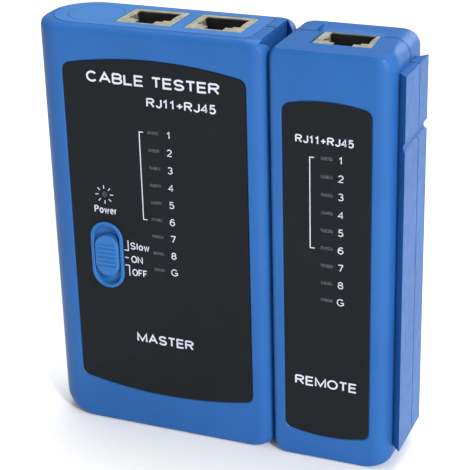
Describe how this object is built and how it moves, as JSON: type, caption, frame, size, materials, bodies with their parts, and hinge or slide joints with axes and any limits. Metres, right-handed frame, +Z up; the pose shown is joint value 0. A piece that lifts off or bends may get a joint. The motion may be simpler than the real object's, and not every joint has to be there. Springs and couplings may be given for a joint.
{
  "type": "network cable tester",
  "caption": "Two-part network cable tester: a master unit with two ports, lamps and slide switch, and a remote unit that slides off its side.",
  "frame": {"origin": "middle of the base, on the surface that both docked units stand on", "axes": "+Z up along the length of the units, -Y towards the labelled front faces, +X from the master unit to the remote unit"},
  "size_m": [0.105, 0.0262, 0.1205],
  "materials": {
    "blue_case": "satin moulded ABS",
    "blue_trim": "satin moulded ABS",
    "black_label": "matt printed overlay",
    "circuit_board": "solder mask",
    "lamp_lens": "unlit diffuse lens",
    "port_shield": "tinned",
    "black_plastic": "matt",
    "gold_contact": "gold plated",
    "white_plastic": "matt",
    "resistor_body": "lacquered",
    "capacitor_can": "sleeved",
    "battery_case": "satin sleeve",
    "steel": "zinc plated",
    "red_insulation": "pvc",
    "black_insulation": "pvc",
    "foam": "closed-cell foam"
  },
  "bodies": {
    "master": {"master_front_shell": "blue_case", "master_rear_shell": "blue_case", "master_top_plate": "blue_trim", "blanking_disc": "blue_trim", "master_label": "black_label", "master_board": "circuit_board", "master_lamps": "lamp_lens", "power_lamp": "lamp_lens", "switch_bezel": "blue_trim", "switch_frame": "port_shield", "switch_base": "black_plastic", "switch_terminals": "gold_contact", "port_1_shield": "port_shield", "port_1_housing": "black_plastic", "port_1_contacts": "gold_contact", "port_2_shield": "port_shield", "port_2_housing": "black_plastic", "port_2_contacts": "gold_contact", "counter_chip": "black_plastic", "timer_chip": "black_plastic", "master_resistors": "resistor_body", "capacitor": "capacitor_can", "battery": "battery_case", "battery_terminals": "steel", "battery_snap": "black_plastic", "lead_red": "red_insulation", "lead_black": "black_insulation", "master_screws": "steel", "board_screws": "steel"},
    "switch": {"switch_knob": "blue_trim", "switch_slider": "white_plastic"},
    "door": {"battery_door": "blue_case", "door_pad": "foam"},
    "remote": {"remote_front_shell": "blue_case", "remote_rear_shell": "blue_case", "remote_label": "black_label", "remote_board": "circuit_board", "remote_lamps": "lamp_lens", "remote_port_shield": "port_shield", "remote_port_housing": "black_plastic", "remote_port_contacts": "gold_contact", "remote_diodes": "black_plastic", "remote_resistors": "resistor_body", "remote_screws": "steel", "remote_board_screws": "steel"}
  },
  "joints": [
    {"name": "remote_slide", "type": "slide", "parent": "master", "child": "remote", "axis": [0, 0, 1], "range_m": [0, 0.116]},
    {"name": "switch_slide", "type": "slide", "parent": "master", "child": "switch", "axis": [0, 0, 1], "range_m": [-0.0024, 0.0024]},
    {"name": "battery_door_hinge", "type": "hinge", "parent": "master", "child": "door", "pos_m": [-0.015, 0.0131, 0.0053], "axis": [-1, 0, 0], "range_deg": [0, 70]}
  ]
}
